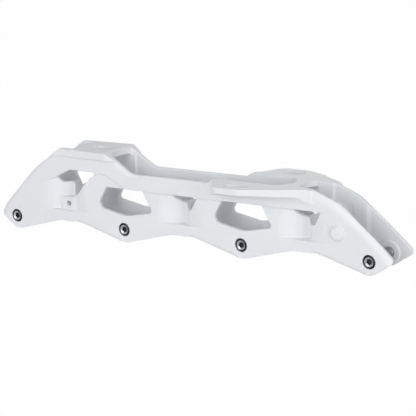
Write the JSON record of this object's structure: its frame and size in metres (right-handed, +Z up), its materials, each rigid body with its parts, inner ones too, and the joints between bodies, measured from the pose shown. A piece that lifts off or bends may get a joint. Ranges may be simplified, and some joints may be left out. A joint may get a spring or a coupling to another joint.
{
  "type": "inline skate frame",
  "caption": "Cast frame that carries four wheels in a line under a boot, with three slotted boot seats and screw-in axles.",
  "frame": {"origin": "under the middle of the frame, on the plane that the lowest points of the side walls touch", "axes": "+X from heel to toe, +Y to the skater's left, +Z up towards the boot"},
  "size_m": [0.3474, 0.075, 0.0678],
  "materials": {
    "powder_coat": "white satin powder coat on cast aluminium",
    "axle_steel": "turned and dark zinc-plated steel"
  },
  "bodies": {
    "casting": {"right_wall": "powder_coat", "left_wall": "powder_coat", "rear_web": "powder_coat", "middle_web": "powder_coat", "front_web": "powder_coat", "heel_deck": "powder_coat", "toe_wing_right": "powder_coat", "toe_wing_left": "powder_coat", "toe_cross_deck": "powder_coat"},
    "axle_1": {"axle_1": "axle_steel"},
    "axle_2": {"axle_2": "axle_steel"},
    "axle_3": {"axle_3": "axle_steel"},
    "axle_4": {"axle_4": "axle_steel"}
  },
  "joints": [
    {"name": "axle_1_draw", "type": "slide", "parent": "casting", "child": "axle_1", "axis": [0, -1, 0], "range_m": [0, 0.029]},
    {"name": "axle_2_draw", "type": "slide", "parent": "casting", "child": "axle_2", "axis": [0, -1, 0], "range_m": [0, 0.029]},
    {"name": "axle_3_draw", "type": "slide", "parent": "casting", "child": "axle_3", "axis": [0, -1, 0], "range_m": [0, 0.029]},
    {"name": "axle_4_draw", "type": "slide", "parent": "casting", "child": "axle_4", "axis": [0, -1, 0], "range_m": [0, 0.029]}
  ]
}
